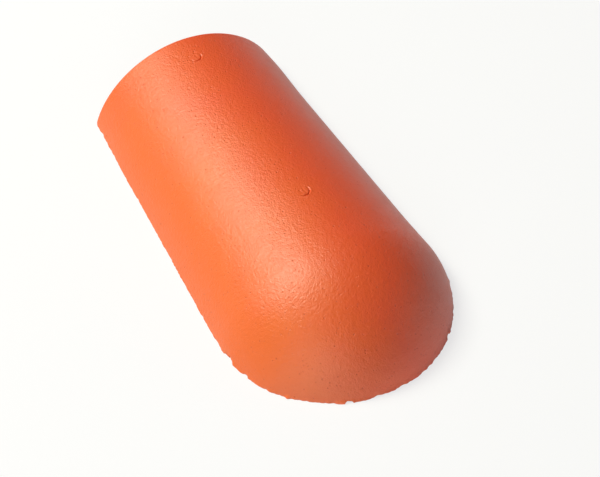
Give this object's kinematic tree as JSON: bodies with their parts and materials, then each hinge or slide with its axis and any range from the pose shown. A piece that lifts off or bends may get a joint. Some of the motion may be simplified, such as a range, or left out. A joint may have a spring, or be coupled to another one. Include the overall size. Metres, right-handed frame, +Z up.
{
  "type": "hip starter roof tile",
  "caption": "Tapered arched roof tile of fired clay with a narrow open end, a rounded closed end and two pressed nail marks on its crown.",
  "frame": {"origin": "on the floor at the middle of the tile's length and width", "axes": "+Y along the length toward the narrow open end, -Y toward the rounded closed end, +Z up through the crown"},
  "size_m": [0.221, 0.42, 0.0837],
  "materials": {
    "fired_clay": "unglazed orange clay, fine pored, with a soft satin sheen"
  },
  "bodies": {
    "root": {"hip_starter_tile": "fired_clay"}
  },
  "joints": []
}
